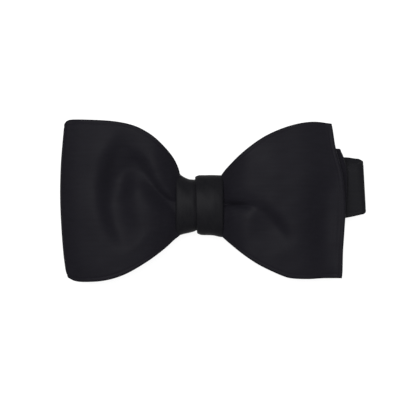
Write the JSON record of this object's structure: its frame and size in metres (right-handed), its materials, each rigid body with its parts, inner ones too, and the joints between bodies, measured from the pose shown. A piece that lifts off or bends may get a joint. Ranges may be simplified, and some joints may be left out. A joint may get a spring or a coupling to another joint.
{
  "type": "bow tie",
  "caption": "Ready-tied bow tie with looped satin blades, a pleated knot wrap and a folded neck band with adjuster slide, hook and eye ring.",
  "frame": {"origin": "on the surface that the bow tie lies on, straight below the middle of the knot", "axes": "+X along the bow to the viewer's right, +Y towards the wearer's chin, +Z out of the front of the bow"},
  "size_m": [0.1327, 0.0688, 0.0242],
  "materials": {
    "satin": "black silk satin, soft sheen",
    "lining": "black satin lining, duller",
    "interlining": "undyed woven interlining",
    "band_satin": "black satin band",
    "metal": "black enamelled steel",
    "thread": "black polyester thread"
  },
  "bodies": {
    "bow": {"front_blade_face": "satin", "front_blade_interlining": "interlining", "front_blade_backing": "lining", "rear_blade_face": "satin", "rear_blade_interlining": "interlining", "rear_blade_backing": "lining", "knot_wrap": "satin", "knot_interlining": "interlining", "knot_back_stitches": "thread", "band_fixed_cover": "band_satin", "band_fixed_interlining": "interlining", "ring_bartack": "thread", "outer_fold_cover": "band_satin", "outer_fold_interlining": "interlining"},
    "band_middle": {"band_middle_cover": "band_satin", "band_middle_interlining": "interlining", "inner_fold_cover": "band_satin", "inner_fold_interlining": "interlining"},
    "band_end": {"band_end_cover": "band_satin", "band_end_interlining": "interlining"},
    "hook_loop": {"hook_loop_cover": "band_satin", "hook_loop_interlining": "interlining"},
    "adjuster": {"adjuster_slide": "metal", "band_tail_cover": "band_satin", "band_tail_interlining": "interlining", "tail_bartack": "thread"},
    "closing_hook": {"closing_hook": "metal"},
    "eye_ring": {"eye_ring": "metal"}
  },
  "joints": [
    {"name": "outer_fold", "type": "hinge", "parent": "bow", "child": "band_middle", "pos_m": [0.06898, 0.00897, 0.009], "axis": [0.1219, -0.9925, 0], "range_deg": [0, 180], "deforming": ["outer_fold_cover", "outer_fold_interlining"]},
    {"name": "inner_fold", "type": "hinge", "parent": "band_middle", "child": "band_end", "pos_m": [-0.04169, -0.00462, 0.006], "axis": [-0.1219, 0.9925, 0], "range_deg": [0, 120], "deforming": ["inner_fold_cover", "inner_fold_interlining"]},
    {"name": "hook_travel", "type": "slide", "parent": "band_end", "child": "hook_loop", "axis": [0.9925, 0.1219, 0], "range_m": [0, 0.055]},
    {"name": "slide_travel", "type": "slide", "parent": "hook_loop", "child": "adjuster", "axis": [0.9925, 0.1219, 0], "range_m": [0, 0.055], "deforming": ["band_tail_cover", "band_tail_interlining"]},
    {"name": "hook_tilt", "type": "hinge", "parent": "hook_loop", "child": "closing_hook", "pos_m": [0.04963, 0.00659, 0.0026], "axis": [-0.1219, 0.9925, 0], "range_deg": [-8, 90]},
    {"name": "ring_tilt", "type": "hinge", "parent": "bow", "child": "eye_ring", "pos_m": [-0.0526, -0.00596, 0.0091], "axis": [-0.1219, 0.9925, 0], "range_deg": [-60, 90]}
  ],
  "couplings": [
    {"joint": "slide_travel", "follows": "hook_travel", "ratio": 1}
  ]
}
